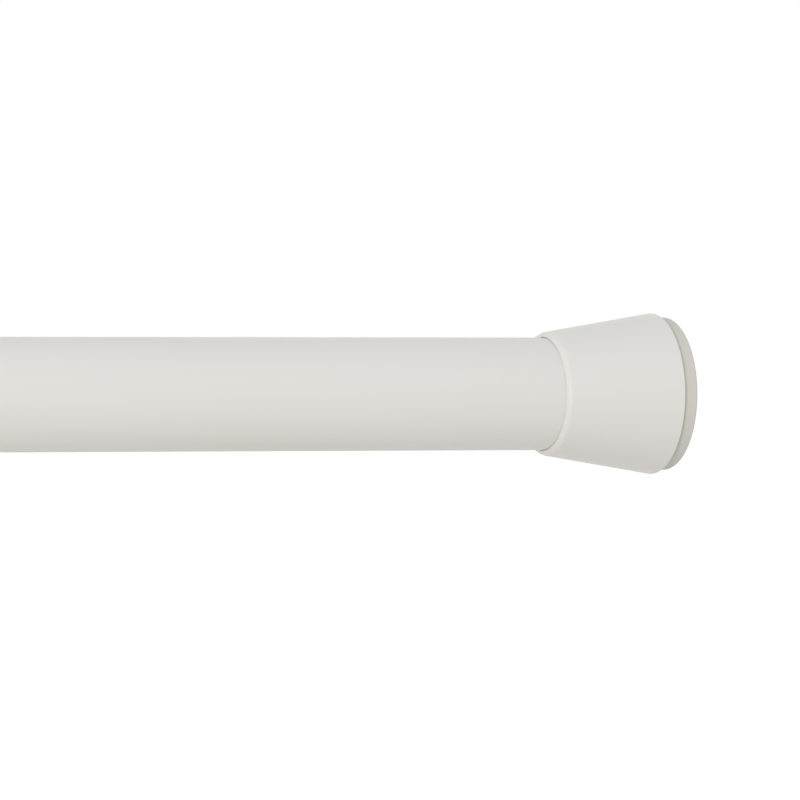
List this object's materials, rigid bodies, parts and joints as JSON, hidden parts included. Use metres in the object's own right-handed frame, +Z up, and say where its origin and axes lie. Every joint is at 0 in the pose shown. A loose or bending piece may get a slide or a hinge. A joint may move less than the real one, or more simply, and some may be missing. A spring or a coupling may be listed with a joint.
{
  "type": "spring tension rod",
  "caption": "Telescoping spring tension rod with conical end caps and rubber pads: turn to lengthen, push in to fit between two walls.",
  "frame": {"origin": "centre of the wall face of the thicker tube's rubber pad", "axes": "+X along the rod, out of that pad into the wall; the rod runs towards -X; +Z up"},
  "size_m": [0.6816, 0.0366, 0.0366],
  "materials": {
    "tube_paint": "off-white baked enamel, satin gloss",
    "cap_plastic": "off-white moulded plastic, satin gloss",
    "pad_rubber": "greyish ivory rubber, matt",
    "bush_plastic": "off-white moulded plastic",
    "insert_plastic": "natural moulded plastic",
    "spindle_plastic": "natural white moulded plastic",
    "spring_steel": "bright drawn wire",
    "zinc_steel": "zinc plated"
  },
  "bodies": {
    "outer_rod": {"outer_tube": "tube_paint", "outer_end_cap": "cap_plastic", "outer_end_pad": "pad_rubber", "mouth_bush": "bush_plastic", "anchor_sleeve": "insert_plastic", "compression_spring": "spring_steel"},
    "spindle": {"spindle": "spindle_plastic", "stop_washer": "zinc_steel", "stop_screw": "zinc_steel", "spindle_guide": "insert_plastic", "guide_screw": "zinc_steel"},
    "far_foot": {"inner_end_cap": "cap_plastic", "inner_end_pad": "pad_rubber"},
    "inner_rod": {"inner_tube": "tube_paint", "drive_nut": "insert_plastic", "swivel_plug": "insert_plastic", "swivel_washer": "zinc_steel", "swivel_screw": "zinc_steel"}
  },
  "joints": [
    {"name": "spring_compression", "type": "slide", "parent": "outer_rod", "child": "spindle", "axis": [1, 0, 0], "range_m": [0, 0.03], "stiffness_N_per_m": 4600, "springref_m": -0.01, "deforming": ["compression_spring"]},
    {"name": "extension", "type": "slide", "parent": "spindle", "child": "far_foot", "axis": [-1, 0, 0], "range_m": [-0.07201, 0.23281]},
    {"name": "twist", "type": "hinge", "parent": "far_foot", "child": "inner_rod", "pos_m": [-0.6816, 0, 0], "axis": [-1, 0, 0], "range_deg": [-2160, 6984]}
  ],
  "couplings": [
    {"joint": "extension", "follows": "twist", "m_per_rad": 0.0019099}
  ]
}
